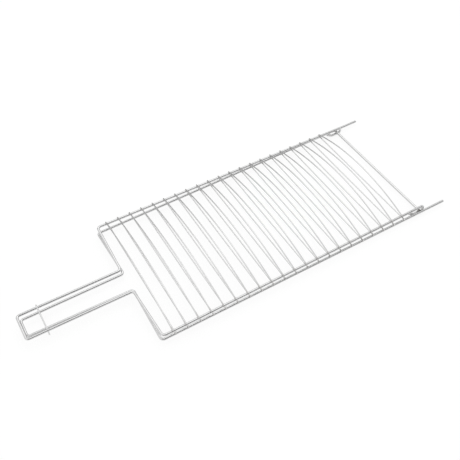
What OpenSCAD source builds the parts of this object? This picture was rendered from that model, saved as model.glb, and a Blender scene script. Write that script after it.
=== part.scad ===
// Fish grill basket of bright welded wire. Two long frames of thick wire, each bent in one
// piece with its handle, carry rows of thin cross wires: straight ones below, arched ones
// above. The upper frame ends in two wire eyes that turn round a bar welded between the
// lower frame's rails, and a loose wire ring round both handles keeps the basket shut.
// Origin: middle of the bounding box on the table. +X runs from the handle to the hinge,
// +Z is up, and the basket is symmetric about the XZ plane.

/* [Wire] */
// Thick wire of the frames, the handles and the hinge bar
rail_d = 4; // [3.6:0.1:4.2]
// Thin wire of the cross wires and the ring
cross_d = 2; // [1.8:0.1:2.2]
// Depth to which a cross wire is sunk into a rail by its weld
weld_sink = 0.24; // [0.16:0.02:0.24]

/* [Lower frame] */
// From the zero line, at the body's end bar on the handle side, to the hinge bar
body_l = 456; // [452:1:470]
// Half the width between the rails' centres on the zero line
low_half_a = 113.9; // [112:0.1:116]
// The same at the hinge
low_half_b = 115.2; // [114.8:0.1:116]
// Length of the prongs past the hinge bar
prong_l = 45.5; // [30:0.5:60]
// How far the end bar's corners lie inside the body's zero line
low_corner_x = 1.4; // [0:0.2:2]
// How far its necks lie inside that line
low_neck_x = 3; // [2.8:0.1:3.4]
// Half the width of the lower handle at the neck
low_neck = 17.2; // [16.8:0.1:17.4]
// Height of the lower handle over the rails at the neck
low_neck_z = 3; // [2.6:0.1:3]
// The same at the handle's end
low_end_z = 6; // [5.6:0.1:6]
// Bend radius of both frames at the body's corners, to the wire's middle
corner_r = 5; // [4:0.5:6]

/* [Upper frame] */
// Half the width between the rails' centres on the zero line
up_half_a = 115.6; // [114:0.1:117]
// The same at the hinge, where the eyes fit between the lower rails
up_half_b = 110.4; // [110:0.1:110.5]
// Height of the rails over the lower rails on the zero line
up_z_a = 11.3; // [10.5:0.1:12]
// The same over the hinge bar
up_z_b = 5.7; // [5.6:0.1:6]
// How far the end bar's corners lie inside the body's zero line
up_corner_x = 3.6; // [2:0.2:4]
// How far its necks lie inside that line
up_neck_x = 1.4; // [1:0.1:1.6]
// Half the width of the upper handle at the neck
up_neck = 22.4; // [22.2:0.1:22.6]
// Height of the upper handle over the lower rails at the neck
up_neck_z = 7; // [7:0.1:7.4]
// The same at the handle's end
up_end_z = 9.4; // [9.4:0.1:9.8]

/* [Handles] */
// From the body's zero line to the lower handle's end bar
handle_l = 156.8; // [150:0.2:165]
// How much longer the upper handle is, which reaches round the lower one
up_past = 2.7; // [2.7:0.1:3.5]
// Half the width of the lower handle at its end
low_end = 15.5; // [15:0.1:17]
// Half the width of the upper handle at its end
up_end = 22.3; // [22:0.1:22.4]
// Bend radius of the handles' end corners, to the wire's middle
handle_r = 4.5; // [4:0.5:6]

/* [Hinge] */
// Height of the bar's centre over the lower rails
bar_z = 0.5; // [0.4:0.1:0.6]
// From the bar's centre to the wire's middle at the eye's round end
eye_reach = 8.4; // [8:0.1:9]
// Length of the eye's lower leg
eye_leg = 18.4; // [17:0.2:20]
// Gap between the lower leg and the bar
eye_gap = 0.4; // [0.35:0.05:0.45]

/* [Cross wires] */
// Number of wires in each row
rows = 21; // [21:1:21]
// Spacing of the lower wires
low_pitch = 20; // [19.8:0.1:20.1]
// From the zero line to the first lower wire
low_first = 22.4; // [20:0.1:24]
// Spacing of the upper wires
up_pitch = 20.07; // [20:0.01:20.2]
// From the zero line to the first upper wire
up_first = 18.7; // [17:0.1:20]
// Height of the first arch over the lower rails
arch_z_first = 27; // [25:0.1:28]
// Height of the middle arch
arch_z_mid = 26.5; // [24:0.1:28]
// Height of the last arch
arch_z_last = 28.1; // [26:0.1:29]
// Length of the wire end past the weld, bent down over the rail's shoulder
stub = 1; // [1:0.2:3]

/* [Ring] */
// From the zero line to the ring
ring_x = 129; // [120:1:132]
// How far the ring slides from there towards the body
ring_in = 69; // [60:1:69]
// Bend radius of the ring's corners, to the wire's middle
ring_r = 3.4; // [3:0.1:3.4]
// Least play between the ring and the handles, all round
ring_gap = 0.35; // [0.35:0.05:0.6]

/* [Hidden] */
$fn = 48;
rr = rail_d / 2;
cr = cross_d / 2;
// Bends are a hair thicker than the straight wire, which ends just inside them
lip = 0.02;
lap = 0.2;
// The eyes' lower legs are the lowest point and stand on the table
leg_z = bar_z - rail_d - eye_gap;
base_z = rr + lip - leg_z;
// The middle between the handle's end and the prongs' tips
mid_x = (body_l + prong_l - handle_l - up_past - rr) / 2;
neck_r = 5;
eye_tip = body_l + eye_reach;
// Straight half of the eye's round end
eye_flat = 0.5;
// The wire's end rises over this length to the rail's underside
eye_close = 9;
eye_bend_r = 4;
weld_gap = rr + cr - weld_sink;
// Lower wires end this far past the middle of the rail
low_stub = 2.5;
// Bend radius of the arches' wire ends
stub_r = 6;
// Slope at which an arch is taken to lie on its rail
weld_slope = 16;
// The ring clears the lower handle's underside at the body end of its travel, and the upper
// handle's sides and its end bar, over which it comes off
ring_low = low_handle_z(ring_in - ring_x) - rr - cr - ring_gap;
ring_high = up_end_z + rr + cr + ring_gap;
ring_half = up_neck + rr + cr + ring_gap;

// Which piece to show

function two(i) = i < 10 ? str("0", i) : str(i);
function unit(v) = v / norm(v);
function mirror_y(v) = [v[0], -v[1], v[2]];
function reversed(list) = [for (i = [len(list) - 1:-1:0]) list[i]];

// Height and half width of the upper rail at x, and of the lower rail
function up_rail_z(x) = up_z_a + (up_z_b - up_z_a) * x / eye_tip;
function up_half(x) = up_half_a + (up_half_b - up_half_a) * x / eye_tip;
function low_half(x) = low_half_a + (low_half_b - low_half_a) * x / body_l;
// Height of the lower handle at x
function low_handle_z(x) =
  low_neck_z + (low_end_z - low_neck_z) * (low_neck_x - x) / (low_neck_x + handle_l);

// Straight piece of wire from a to b
module rod(a, b, d) {
  v = b - a;
  translate(a) rotate([0, acos(v[2] / norm(v)), atan2(v[1], v[0])])
    cylinder(h = norm(v), d = d);
}

// Bent piece of wire with the bend radius r: it starts at p along the direction u and turns
// through the angle a towards the direction w
module bend(p, u, w, r, a, d) {
  side = unit(w - (w * u) * u);
  n = cross(u, side);
  c = p + side * r;
  multmatrix([[-side[0], u[0], n[0], c[0]], [-side[1], u[1], n[1], c[1]],
              [-side[2], u[2], n[2], c[2]], [0, 0, 0, 1]])
    rotate_extrude(angle = a) translate([r, 0]) circle(d = d + 2 * lip);
}

// Angle of the corner at b, and the length of wire that its bend takes from each side
function turn(a, b, c) = acos(unit(b - a) * unit(c - b));
function setback(a, b, c, r) = r * tan(turn(a, b, c) / 2);

// One unbroken wire along the points pts, with the bend radius rad[i] at point i. Straight
// pieces run a little way into the bends.
module wire(pts, rad, d, closed = false) {
  n = len(pts);
  inner = closed ? [0:n - 1] : [1:n - 2];
  back = [for (i = [0:n - 1]) !closed && (i == 0 || i == n - 1) ? 0
          : setback(pts[(i + n - 1) % n], pts[i], pts[(i + 1) % n], rad[i])];
  for (i = [0:closed ? n - 1 : n - 2]) {
    j = (i + 1) % n;
    u = unit(pts[j] - pts[i]);
    rod(pts[i] + u * max(0, back[i] - lap), pts[j] - u * max(0, back[j] - lap), d);
  }
  for (i = inner) {
    u = unit(pts[i] - pts[(i + n - 1) % n]);
    w = unit(pts[(i + 1) % n] - pts[i]);
    bend(pts[i] - u * back[i], u, w, rad[i], acos(u * w), d);
  }
}

// Rail, body corner, neck and handle of one frame, from the rail's point p on the +Y side
// to the middle of the handle and back on the other side
module frame(head, head_r, corner, neck, tip) {
  half = concat(head, [corner, neck, tip]);
  half_r = concat(head_r, [corner_r, neck_r, handle_r]);
  wire(concat(half, reversed([for (p = half) mirror_y(p)])), concat(half_r, reversed(half_r)),
       rail_d);
}

module bottom_frame() {
  color("Silver") frame([[body_l + prong_l, low_half(body_l + prong_l), 0]], [0],
                        [low_corner_x, low_half(low_corner_x), 0],
                        [low_neck_x, low_neck, low_neck_z], [-handle_l, low_end, low_end_z]);
}

// The rail runs over the bar, turns back under it and its end rises to the rail again, so
// the eye is closed
module top_frame() {
  round_r = (up_z_b - leg_z) / 2 - eye_flat;
  leg_x = eye_tip - eye_leg;
  end_x = leg_x - eye_close;
  color("Silver") frame([[end_x, up_half_b, up_rail_z(end_x) - rail_d - lap / 2],
                         [leg_x, up_half_b, leg_z], [eye_tip, up_half_b, leg_z],
                         [eye_tip, up_half_b, up_z_b]],
                        [0, eye_bend_r, round_r, round_r],
                        [up_corner_x, up_half(up_corner_x), up_rail_z(up_corner_x)],
                        [up_neck_x, up_neck, up_neck_z],
                        [-handle_l - up_past, up_end, up_end_z]);
}

// The bar is butt welded between the lower rails
module hinge_bar() {
  inner = low_half_b - rr + 0.2;
  color("Silver") translate([body_l, inner, bar_z]) rotate([90, 0, 0])
    cylinder(h = 2 * inner, d = rail_d);
}

module bottom_wire(i) {
  x = low_first + low_pitch * (i - 1);
  reach = low_half(x) + low_stub;
  color("LightGray") translate([x, reach, weld_gap]) rotate([90, 0, 0])
    cylinder(h = 2 * reach, d = cross_d);
}

// Height of arch i, through the first, the middle and the last
function arch_z(i) = let (k = (i - 1) / (rows - 1))
  arch_z_first * (1 - k) * (1 - 2 * k) + arch_z_mid * 4 * k * (1 - k) + arch_z_last * k * (2 * k - 1);

// Arched wire, which lies on the outer shoulder of each rail and is cut off just past it
module top_wire(i) {
  x = up_first + up_pitch * (i - 1);
  w = up_half(x) + weld_gap * sin(weld_slope);
  foot_z = up_rail_z(x) + weld_gap * cos(weld_slope);
  h = arch_z(i) - foot_z;
  r = (w * w + h * h) / (2 * h);
  a = asin(w / r);
  a_lap = lap / r * 180 / PI;
  stub_a = stub / stub_r * 180 / PI;
  color("LightGray") {
    arc([x, 0, arch_z(i) - r], r, 90 - a - a_lap, 2 * (a + a_lap), cross_d);
    for (s = [-1, 1])
      arc([x, s * (w - stub_r * sin(a)), foot_z - stub_r * cos(a)], stub_r,
          s > 0 ? 90 - a - stub_a : 90 + a, stub_a, cross_d + 2 * lip);
  }
}

// Arc of wire in the YZ plane about c, from the angle a0 over the angle a, in 24 steps
module arc(c, r, a0, a, d) {
  translate(c) rotate([90, 0, 90]) rotate([0, 0, a0])
    rotate_extrude(angle = a, $fn = 24 * 360 / a) translate([r, 0]) circle(d = d, $fn = 48);
}

// Closed rectangular ring round both handles, free to slide along them
module clip_ring() {
  x = -ring_x;
  color("Silver") wire([[x, ring_half, ring_low], [x, ring_half, ring_high],
                        [x, -ring_half, ring_high], [x, -ring_half, ring_low]],
                       [ring_r, ring_r, ring_r, ring_r], cross_d, true);
}

translate([-mid_x, 0, base_z]) {
  bottom_frame();
  hinge_bar();
  for (i = [1:rows]) bottom_wire(i);
  top_frame();
  for (i = [1:rows]) top_wire(i);
  clip_ring();
}
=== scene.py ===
import math

import bpy
from mathutils import Matrix, Vector


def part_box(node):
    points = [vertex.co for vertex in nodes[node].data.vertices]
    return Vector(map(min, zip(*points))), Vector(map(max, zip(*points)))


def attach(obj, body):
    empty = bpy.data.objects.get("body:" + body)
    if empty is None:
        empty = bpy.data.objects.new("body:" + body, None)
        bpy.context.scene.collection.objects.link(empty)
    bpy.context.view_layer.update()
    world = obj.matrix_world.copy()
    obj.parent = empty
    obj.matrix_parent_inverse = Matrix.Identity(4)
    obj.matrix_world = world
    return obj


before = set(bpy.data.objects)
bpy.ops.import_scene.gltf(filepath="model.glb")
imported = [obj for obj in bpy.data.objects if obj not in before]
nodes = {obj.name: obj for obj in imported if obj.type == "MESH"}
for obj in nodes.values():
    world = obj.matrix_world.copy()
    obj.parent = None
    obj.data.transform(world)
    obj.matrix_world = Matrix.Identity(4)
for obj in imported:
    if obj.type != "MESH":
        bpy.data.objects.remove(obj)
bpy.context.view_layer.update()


# The photographer stands at the handle's left and looks down on the basket, with a lens a
# little longer than normal. The place and the angles were fitted to the crossings of the
# wires in the photograph.
MM = 0.001
EYE = Vector((-312.1, -611.9, 813.5)) * MM
DOWN = math.radians(49.0101)
ACROSS = math.radians(27.4796)
ROLL = math.radians(-3.2905)
IMAGE_PX = 460
FOCAL_PX = 684.6

ahead = Vector((math.cos(DOWN) * math.sin(ACROSS), math.cos(DOWN) * math.cos(ACROSS), -math.sin(DOWN)))
level = Vector((math.cos(ACROSS), -math.sin(ACROSS), 0))
upright = level.cross(ahead)
right = level * math.cos(ROLL) + upright * math.sin(ROLL)
up = upright * math.cos(ROLL) - level * math.sin(ROLL)

lens = bpy.data.cameras.new("photo_lens")
lens.sensor_width = 36
lens.lens = FOCAL_PX * lens.sensor_width / IMAGE_PX
lens.clip_start = 0.05
lens.clip_end = 50
camera = bpy.data.objects.new("photo_camera", lens)
camera.matrix_world = Matrix.Translation(EYE) @ Matrix((right, up, -ahead)).transposed().to_4x4()
bpy.context.scene.collection.objects.link(camera)
bpy.context.scene.camera = camera


# The lower frame is one steel wire of 4 mm, from a prong along the rail, round the handle
# and back to the other prong. It is drawn through a die, bent cold, and plated once the
# whole grid is welded.
ROWS = 21
# Places along the basket are in mm from the zero line, this far from the hinge bar
BODY_L = 456.0
bar_low, bar_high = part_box("hinge_bar")
ZERO_X = (bar_low.x + bar_high.x) / 2 - BODY_L * MM
# The grid's end bars lie within this reach of here, and the handles' end bars past here
END_BAR = 2.5
END_BAR_REACH = 5.0
HANDLE_END = -153.5
# Real die lines are finer than a tenth of a millimetre, so they are drawn coarser to show
THICK_LINE = 0.4
LINE_LENGTH = 40.0
LINE_DEPTH = 0.03
# The plating's thin film is cloudy at this scale, and roughens the mirror by this much
CLOUD = 15.0
FILM = 0.09
# Half the width of the duller mark round a weld along the rail, how much rougher it is, and
# how far from the hinge bar no mark is left
WELD_MARK = 2.6
WELD_ROUGH = 0.1
NO_MARK_AT_BAR = 4.0


def linear(code):
    """A colour written in sRGB hex, as the renderer's linear values."""
    parts = [int(code[i:i + 2], 16) / 255 for i in (1, 3, 5)]
    return [c / 12.92 if c <= 0.04045 else ((c + 0.055) / 1.055) ** 2.4 for c in parts] + [1.0]


def add(tree, kind, values=None, links=None, **settings):
    """One node, with its settings, the values of its inputs and what is linked to them. A
    whole node that is linked stands for its first output."""
    made = tree.nodes.new(kind)
    for name, value in settings.items():
        setattr(made, name, value)
    for key, value in (values or {}).items():
        made.inputs[key].default_value = value
    for key, source in (links or {}).items():
        output = source.outputs[0] if isinstance(source, bpy.types.Node) else source
        tree.links.new(output, made.inputs[key])
    return made


def new_material(name):
    """An empty node material: the material, its tree and the place on the piece."""
    material = bpy.data.materials.new(name)
    material.use_nodes = True
    material.node_tree.nodes.clear()
    place = add(material.node_tree, "ShaderNodeTexCoord").outputs["Object"]
    return material, material.node_tree, place


def row_of(kind):
    """A row's first cross wire, in mm from the zero line, and the pitch to the next one."""
    ends = [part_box(f"{kind}_wire_{i:02d}") for i in (1, ROWS)]
    first, last = [((low.x + high.x) / 2 - ZERO_X) / MM for low, high in ends]
    return first, (last - first) / (ROWS - 1)


def die_lines(tree, place, lengthwise, line_mm):
    """The scratches of the drawing die, fine across the wire and long along it. The wire
    runs along X where lengthwise is 0, and along Y where it is 1."""
    scale = [1 / (LINE_LENGTH * MM) if axis == lengthwise else 1 / (line_mm * MM) for axis in range(3)]
    drawn_out = add(tree, "ShaderNodeMapping", {"Scale": scale}, {"Vector": place})
    return add(tree, "ShaderNodeTexNoise", {"Scale": 1.0, "Detail": 2.0, "Roughness": 0.6},
               {"Vector": drawn_out})


def near_crossing(tree, along, row):
    """One at the middle of each crossing of a row, and nothing past its weld mark."""
    first, pitch = row
    rows = add(tree, "ShaderNodeMath", {1: -ZERO_X - first * MM}, {0: along}, operation="ADD")
    share = add(tree, "ShaderNodeMath", {1: 1 / (pitch * MM)}, {0: rows}, operation="MULTIPLY")
    swing = add(tree, "ShaderNodeMath", {1: 0.5}, {0: share}, operation="PINGPONG")
    return add(tree, "ShaderNodeMapRange", {"From Min": 0.0, "From Max": WELD_MARK / pitch,
                                           "To Min": 1.0, "To Max": 0.0},
               {"Value": swing}, interpolation_type="SMOOTHSTEP")


def plate(material, tree, place, lines, mark, clean, mark_tint, polish):
    """Bright plating over drawn steel: a clear mirror with a thin cloudy film on it, the
    die's lines just showing through, and a duller, greyer mark where given: a ring round each
    weld, and painted shade at the ends of the hinge bar."""
    cloud = add(tree, "ShaderNodeTexNoise", {"Scale": 1 / (CLOUD * MM), "Detail": 3.0}, {"Vector": place})
    film = add(tree, "ShaderNodeMapRange", {"From Min": 0.3, "From Max": 0.7, "To Min": polish,
                                           "To Max": polish + FILM}, {"Value": cloud})
    rough = add(tree, "ShaderNodeMath", {1: WELD_ROUGH}, {0: mark, 2: film}, operation="MULTIPLY_ADD")
    tint = add(tree, "ShaderNodeMix", {6: linear(clean), 7: linear(mark_tint)}, {0: mark}, data_type="RGBA")
    bump = add(tree, "ShaderNodeBump", {"Strength": 0.35, "Distance": LINE_DEPTH * MM}, {"Height": lines})
    metal = add(tree, "ShaderNodeBsdfPrincipled", {"Metallic": 1.0},
                {"Base Color": tint.outputs[2], "Roughness": rough, "Normal": bump})
    add(tree, "ShaderNodeOutputMaterial", links={"Surface": metal})
    return material


def frame_wire(name, row):
    """Bright plated 4 mm wire, which runs along X in the rails and handles and across in the
    end bars, and is marked where a cross wire of the row is welded to it."""
    material, tree, place = new_material(name)
    along = add(tree, "ShaderNodeSeparateXYZ", links={"Vector": place}).outputs["X"]
    end_bar = add(tree, "ShaderNodeMath", {1: ZERO_X + END_BAR * MM, 2: END_BAR_REACH * MM}, {0: along},
                  operation="COMPARE")
    handle_end = add(tree, "ShaderNodeMath", {1: ZERO_X + HANDLE_END * MM}, {0: along},
                     operation="LESS_THAN")
    across = add(tree, "ShaderNodeMath", links={0: end_bar, 1: handle_end}, operation="MAXIMUM")
    lines = add(tree, "ShaderNodeMix", links={0: across, 2: die_lines(tree, place, 0, THICK_LINE),
                                              3: die_lines(tree, place, 1, THICK_LINE)}, data_type="FLOAT")
    past_end_bar = add(tree, "ShaderNodeMath", {1: ZERO_X + (END_BAR + 2 * END_BAR_REACH) * MM},
                       {0: along}, operation="GREATER_THAN")
    before_bar = add(tree, "ShaderNodeMath", {1: ZERO_X + (BODY_L - NO_MARK_AT_BAR) * MM}, {0: along},
                     operation="LESS_THAN")
    gridded = add(tree, "ShaderNodeMath", links={0: past_end_bar, 1: before_bar}, operation="MULTIPLY")
    mark = add(tree, "ShaderNodeMath", links={0: near_crossing(tree, along, row), 1: gridded},
               operation="MULTIPLY")
    return plate(material, tree, place, lines, mark, clean="#D3D3D3", mark_tint="#C3C2C1", polish=0.2)


def finish_with(material, names):
    """Puts a material on every slot of CAD nodes, whose shapes stay as they are."""
    for name in names:
        for slot in nodes[name].material_slots:
            slot.material = material


finish_with(frame_wire("bright_plated_lower_rail_wire", row_of("bottom")), ["bottom_frame"])


# The hinge bar is a straight piece of the same wire, cut to fit between the rails and butt
# welded to them. Both its ends are rougher where welded, and painted darker as painted shade
# where the upper frame's eyes close round them.
# Painted shade of the eyes on the bar, from this far to this far from its middle, in mm
BAR_EYE_SHADE = (108.0, 112.5)


def bar_wire():
    """Bright plated 4 mm wire that runs across, and grows rougher over its last few mm, where painted
    shade of the eyes also darkens it.
    """
    material, tree, place = new_material("bright_plated_bar_wire")
    axes = add(tree, "ShaderNodeSeparateXYZ", links={"Vector": place})
    side = add(tree, "ShaderNodeMath", links={0: axes.outputs["Y"]}, operation="ABSOLUTE")
    # Painted shade where the eyes close round the bar's ends, which also roughens them there
    eye_shade = add(tree, "ShaderNodeMapRange", {"From Min": BAR_EYE_SHADE[0] * MM, "From Max": BAR_EYE_SHADE[1] * MM},
                {"Value": side}, interpolation_type="SMOOTHSTEP")
    # The marks' darker colour here is the painted shade of the eyes
    return plate(material, tree, place, die_lines(tree, place, 1, THICK_LINE), eye_shade,
                 clean="#D3D3D3", mark_tint="#9A9894", polish=0.2)


finish_with(bar_wire(), ["hinge_bar"])


# Each row has twenty-one thin wires, cut from a coil of 2 mm wire. The lower ones are
# straight and lie on the rails. They are plated with the frame, and the thinner wire comes
# a little brighter and smoother from the bath.
# Its die lines are drawn coarser too, to show
THIN_LINE = 0.3
LOW_WELD_Y = 114.5
# A cross wire's mark is full this far from its weld's middle, and clean from here on
THIN_MARK = (1.5, 4.0)


def thin_wire(name, weld_y):
    """Bright plated 2 mm wire that runs across, with a duller mark weld_y from the middle."""
    material, tree, place = new_material(name)
    axes = add(tree, "ShaderNodeSeparateXYZ", links={"Vector": place})
    side = add(tree, "ShaderNodeMath", links={0: axes.outputs["Y"]}, operation="ABSOLUTE")
    off = add(tree, "ShaderNodeMath", {1: weld_y * MM}, {0: side}, operation="SUBTRACT")
    away = add(tree, "ShaderNodeMath", links={0: off}, operation="ABSOLUTE")
    mark = add(tree, "ShaderNodeMapRange", {"From Min": THIN_MARK[0] * MM, "From Max": THIN_MARK[1] * MM,
                                            "To Min": 1.0, "To Max": 0.0},
               {"Value": away}, interpolation_type="SMOOTHSTEP")
    return plate(material, tree, place, die_lines(tree, place, 1, THIN_LINE), mark,
                 clean="#D4D4D4", mark_tint="#C6C5C4", polish=0.17)


finish_with(thin_wire("bright_plated_lower_cross_wire", LOW_WELD_Y),
            [f"bottom_wire_{i:02d}" for i in range(1, ROWS + 1)])


# The upper frame is bent from the same thick wire, with its ends closed into eyes round the
# hinge bar. Its thin wires are bent to a low arch, welded on the outer shoulders of its rails
# and cut off just past them.
UP_WELD_Y = 113.5

finish_with(frame_wire("bright_plated_upper_rail_wire", row_of("top")), ["top_frame"])
finish_with(thin_wire("bright_plated_arched_wire", UP_WELD_Y),
            [f"top_wire_{i:02d}" for i in range(1, ROWS + 1)])


# Where two wires cross they are pressed together and melted by a current. The melt squeezes
# out as a low collar, which fills the crevice between the wires, and comes duller from the
# plating than the drawn wire.
RAIL_R = 2.0
CROSS_R = 1.0
WELD_SINK = 0.24
# Height of the lower rails, and of the upper ones over them on the zero line and at the eyes
RAIL_Z = 5.92
UP_Z = (11.3, 5.7)
# Half the width between the rails, on the zero line and at the hinge bar or the eyes' tips
LOW_HALF = (113.9, 115.2)
UP_HALF = (115.6, 110.4)
EYE_TIP = 464.4
# The arches come down on the outer shoulders of their rails at this slope
SHOULDER = math.radians(16)
# How far a collar reaches past the melted patch, and half its thickness
PAST_MELT = 0.4
COLLAR_RISE = 0.42
WELD_GRAIN = 0.5


def weld_metal():
    """Melted steel under the plating: uneven, matt and a little grey."""
    material, tree, place = new_material("plated_resistance_weld")
    grain = add(tree, "ShaderNodeTexNoise", {"Scale": 1 / (WELD_GRAIN * MM), "Detail": 4.0},
                {"Vector": place})
    rough = add(tree, "ShaderNodeMapRange", {"From Min": 0.3, "From Max": 0.7, "To Min": 0.34,
                                             "To Max": 0.5}, {"Value": grain})
    tint = add(tree, "ShaderNodeMix", {6: linear("#C8C7C6"), 7: linear("#ACABA9")}, {0: grain},
               data_type="RGBA")
    bump = add(tree, "ShaderNodeBump", {"Strength": 0.6, "Distance": 0.08 * MM}, {"Height": grain})
    metal = add(tree, "ShaderNodeBsdfPrincipled", {"Metallic": 1.0},
                {"Base Color": tint.outputs[2], "Roughness": rough, "Normal": bump})
    add(tree, "ShaderNodeOutputMaterial", links={"Surface": metal})
    return material


def weld_row_tree():
    """The nodes that set a collar at both ends of every cross wire of a row. The collars are
    counted in pairs, right and left, and a row widens and rises evenly along the basket."""
    tree = bpy.data.node_groups.new("weld_row", "GeometryNodeTree")
    tree.interface.new_socket(name="Geometry", in_out="OUTPUT", socket_type="NodeSocketGeometry")
    kinds = {"Wires": "Int", "First": "Float", "Pitch": "Float", "Half start": "Float",
             "Half slope": "Float", "Height start": "Float", "Height slope": "Float",
             "Lean": "Float", "Collar": "Vector", "Metal": "Material"}
    sockets = {name: tree.interface.new_socket(name=name, in_out="INPUT",
                                               socket_type="NodeSocket" + kind).identifier
               for name, kind in kinds.items()}
    given = add(tree, "NodeGroupInput").outputs

    number = add(tree, "GeometryNodeInputIndex")
    pair = add(tree, "ShaderNodeMath", {1: 2.0}, {0: number}, operation="DIVIDE")
    row = add(tree, "ShaderNodeMath", links={0: pair}, operation="FLOOR")
    left = add(tree, "ShaderNodeMath", {1: 2.0}, {0: number}, operation="MODULO")
    side = add(tree, "ShaderNodeMath", {1: 2.0, 2: -1.0}, {0: left}, operation="MULTIPLY_ADD")
    along = add(tree, "ShaderNodeMath", links={0: row, 1: given["Pitch"], 2: given["First"]},
                operation="MULTIPLY_ADD")
    half = add(tree, "ShaderNodeMath", links={0: along, 1: given["Half slope"], 2: given["Half start"]},
               operation="MULTIPLY_ADD")
    height = add(tree, "ShaderNodeMath",
                 links={0: along, 1: given["Height slope"], 2: given["Height start"]},
                 operation="MULTIPLY_ADD")
    x = add(tree, "ShaderNodeMath", {1: ZERO_X}, {0: along}, operation="ADD")
    y = add(tree, "ShaderNodeMath", links={0: half, 1: side}, operation="MULTIPLY")
    spot = add(tree, "ShaderNodeCombineXYZ", links={"X": x, "Y": y, "Z": height})

    count = add(tree, "ShaderNodeMath", {1: 2.0}, {0: given["Wires"]}, operation="MULTIPLY")
    line = add(tree, "GeometryNodeMeshLine", links={"Count": count})
    spots = add(tree, "GeometryNodeSetPosition", links={"Geometry": line, "Position": spot})
    bead = add(tree, "GeometryNodeMeshIcoSphere", {"Radius": 1.0, "Subdivisions": 3})
    round_bead = add(tree, "GeometryNodeSetShadeSmooth", links={"Geometry": bead})
    lean = add(tree, "ShaderNodeMath", links={0: given["Lean"], 1: side}, operation="MULTIPLY")
    turn = add(tree, "ShaderNodeCombineXYZ", links={"X": lean})
    set_down = add(tree, "GeometryNodeInstanceOnPoints",
                   links={"Points": spots, "Instance": round_bead, "Rotation": turn,
                          "Scale": given["Collar"]})
    solid = add(tree, "GeometryNodeRealizeInstances", links={"Geometry": set_down})
    painted = add(tree, "GeometryNodeSetMaterial", links={"Geometry": solid, "Material": given["Metal"]})
    add(tree, "NodeGroupOutput", links={"Geometry": painted})
    return tree, sockets


row_tree, sockets = weld_row_tree()
collar = [(math.sqrt(2 * CROSS_R * WELD_SINK) + PAST_MELT) * MM,
          (math.sqrt(2 * RAIL_R * WELD_SINK) + PAST_MELT) * MM, COLLAR_RISE * MM]
shared = {"Wires": ROWS, "Collar": collar, "Metal": weld_metal()}


def weld_row(name, body, values):
    """Runs the tree once, keeps its result as a plain mesh, and gives it to the body."""
    maker = bpy.data.objects.new(name + "_maker", bpy.data.meshes.new(name + "_maker"))
    bpy.context.scene.collection.objects.link(maker)
    modifier = maker.modifiers.new("welds", "NODES")
    modifier.node_group = row_tree
    for key, value in {**shared, **values}.items():
        modifier[sockets[key]] = value
    bpy.context.view_layer.update()
    ready = maker.evaluated_get(bpy.context.evaluated_depsgraph_get())
    welds = bpy.data.objects.new(name, bpy.data.meshes.new_from_object(ready))
    maker.modifiers.remove(modifier)
    bpy.data.objects.remove(maker)
    bpy.context.scene.collection.objects.link(welds)
    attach(welds, body)


# From a rail's middle to the middle of the melt
to_weld = RAIL_R - WELD_SINK / 2

first, pitch = row_of("bottom")
weld_row("lower_grid_welds", "lower",
         {"First": first * MM, "Pitch": pitch * MM, "Lean": 0.0,
          "Half start": LOW_HALF[0] * MM, "Half slope": (LOW_HALF[1] - LOW_HALF[0]) / BODY_L,
          "Height start": (RAIL_Z + to_weld) * MM, "Height slope": 0.0})
first, pitch = row_of("top")
weld_row("upper_grid_welds", "lid",
         {"First": first * MM, "Pitch": pitch * MM, "Lean": -SHOULDER,
          "Half start": (UP_HALF[0] + to_weld * math.sin(SHOULDER)) * MM,
          "Half slope": (UP_HALF[1] - UP_HALF[0]) / EYE_TIP,
          "Height start": (RAIL_Z + UP_Z[0] + to_weld * math.cos(SHOULDER)) * MM,
          "Height slope": (UP_Z[1] - UP_Z[0]) / EYE_TIP})


# The ring is a loop of the thin wire, bent round the two handles and slid along them to hold
# the springy upper handle down. It shows no weld, so its mark is set past its ends.
PAST_RING_Y = 60.0

finish_with(thin_wire("bright_plated_ring_wire", PAST_RING_Y), ["clip_ring"])


# The basket lies on a pale studio table of matt paper that runs out to white. Cameras and
# mirrors see it white, and it keeps a faint shadow under the wires.
TABLE_REACH = 12.0


def seen_or_mirrored(tree):
    """One for what the camera, a mirror or glass sees, and nothing for what lights the room."""
    rays = add(tree, "ShaderNodeLightPath").outputs
    seen = add(tree, "ShaderNodeMath", links={0: rays["Is Camera Ray"], 1: rays["Is Glossy Ray"]},
               operation="MAXIMUM")
    return add(tree, "ShaderNodeMath", links={0: seen, 1: rays["Is Transmission Ray"]},
               operation="MAXIMUM")


def studio_table():
    """Pale paper for the light that it throws back. What is seen of it is a glow just under
    white, with a grey paper over it that takes the shadow."""
    material, tree, _ = new_material("white_studio_table")
    paper = add(tree, "ShaderNodeBsdfDiffuse", {"Color": linear("#E6E6E6")})
    shade = add(tree, "ShaderNodeBsdfDiffuse", {"Color": linear("#737373")})
    glow = add(tree, "ShaderNodeEmission", {"Strength": 0.86})
    white = add(tree, "ShaderNodeAddShader", links={0: shade, 1: glow})
    mixed = add(tree, "ShaderNodeMixShader", links={0: seen_or_mirrored(tree), 1: paper, 2: white})
    add(tree, "ShaderNodeOutputMaterial", links={"Surface": mixed})
    return material


def flat_sheet(name, corners, material):
    """A plain four-cornered sheet of the studio, such as the table."""
    mesh = bpy.data.meshes.new(name)
    mesh.from_pydata(corners, [], [range(len(corners))])
    mesh.materials.append(material)
    sheet = bpy.data.objects.new(name, mesh)
    bpy.context.scene.collection.objects.link(sheet)
    return sheet


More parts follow.
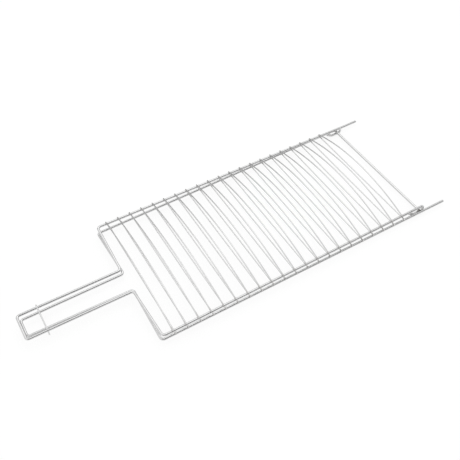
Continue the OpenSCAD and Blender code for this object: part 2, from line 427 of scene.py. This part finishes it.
flat_sheet("studio_table", [(-TABLE_REACH, -TABLE_REACH, 0), (TABLE_REACH, -TABLE_REACH, 0),
                            (TABLE_REACH, TABLE_REACH, 0), (-TABLE_REACH, TABLE_REACH, 0)],
           studio_table())


# The room is white, with one wide soft lamp hung high behind the table. Bright wire shows its
# shape by what it mirrors, so two cards stand out of the picture: a black one in front draws
# the dark line along each wire, and a grey one behind darkens the far halves of the arches.
LAMP_PLACE = Vector((0.35, 0.75, 1.4))
CARD_FROM = -4.0
CARD_TO = 6.0

room = bpy.data.worlds.new("white_room")
room.use_nodes = True
room.node_tree.nodes.clear()
light = add(room.node_tree, "ShaderNodeMapRange", {"To Min": 0.8, "To Max": 1.0},
            {"Value": seen_or_mirrored(room.node_tree)})
white = add(room.node_tree, "ShaderNodeBackground", {"Color": linear("#FFFFFF")}, {"Strength": light})
add(room.node_tree, "ShaderNodeOutputWorld", links={"Surface": white})
bpy.context.scene.world = room
bpy.context.scene.view_settings.view_transform = "Standard"

lamp = bpy.data.lights.new("high_softbox", "AREA")
lamp.shape = "RECTANGLE"
lamp.size = 1.2
lamp.size_y = 1.0
lamp.energy = 2.9
softbox = bpy.data.objects.new("high_softbox", lamp)
facing = LAMP_PLACE.to_track_quat("Z", "Y").to_matrix().to_4x4()
softbox.matrix_world = Matrix.Translation(LAMP_PLACE) @ facing
bpy.context.scene.collection.objects.link(softbox)


def mirrored_card(name, colour, bottom, top):
    """A matt board that only mirrors see. Its long edges have a place (y, z) each."""
    material, tree, _ = new_material(name)
    board = add(tree, "ShaderNodeBsdfDiffuse", {"Color": linear(colour)})
    add(tree, "ShaderNodeOutputMaterial", links={"Surface": board})
    card = flat_sheet(name, [(CARD_FROM, *bottom), (CARD_TO, *bottom), (CARD_TO, *top), (CARD_FROM, *top)],
                      material)
    card.visible_camera = False
    card.visible_diffuse = False
    card.visible_shadow = False


mirrored_card("black_card", "#101010", bottom=(-3.2, 0.7), top=(-2.2, 2.7))
mirrored_card("grey_card", "#B4B4B4", bottom=(3.4, 0.04), top=(3.4, 1.7))
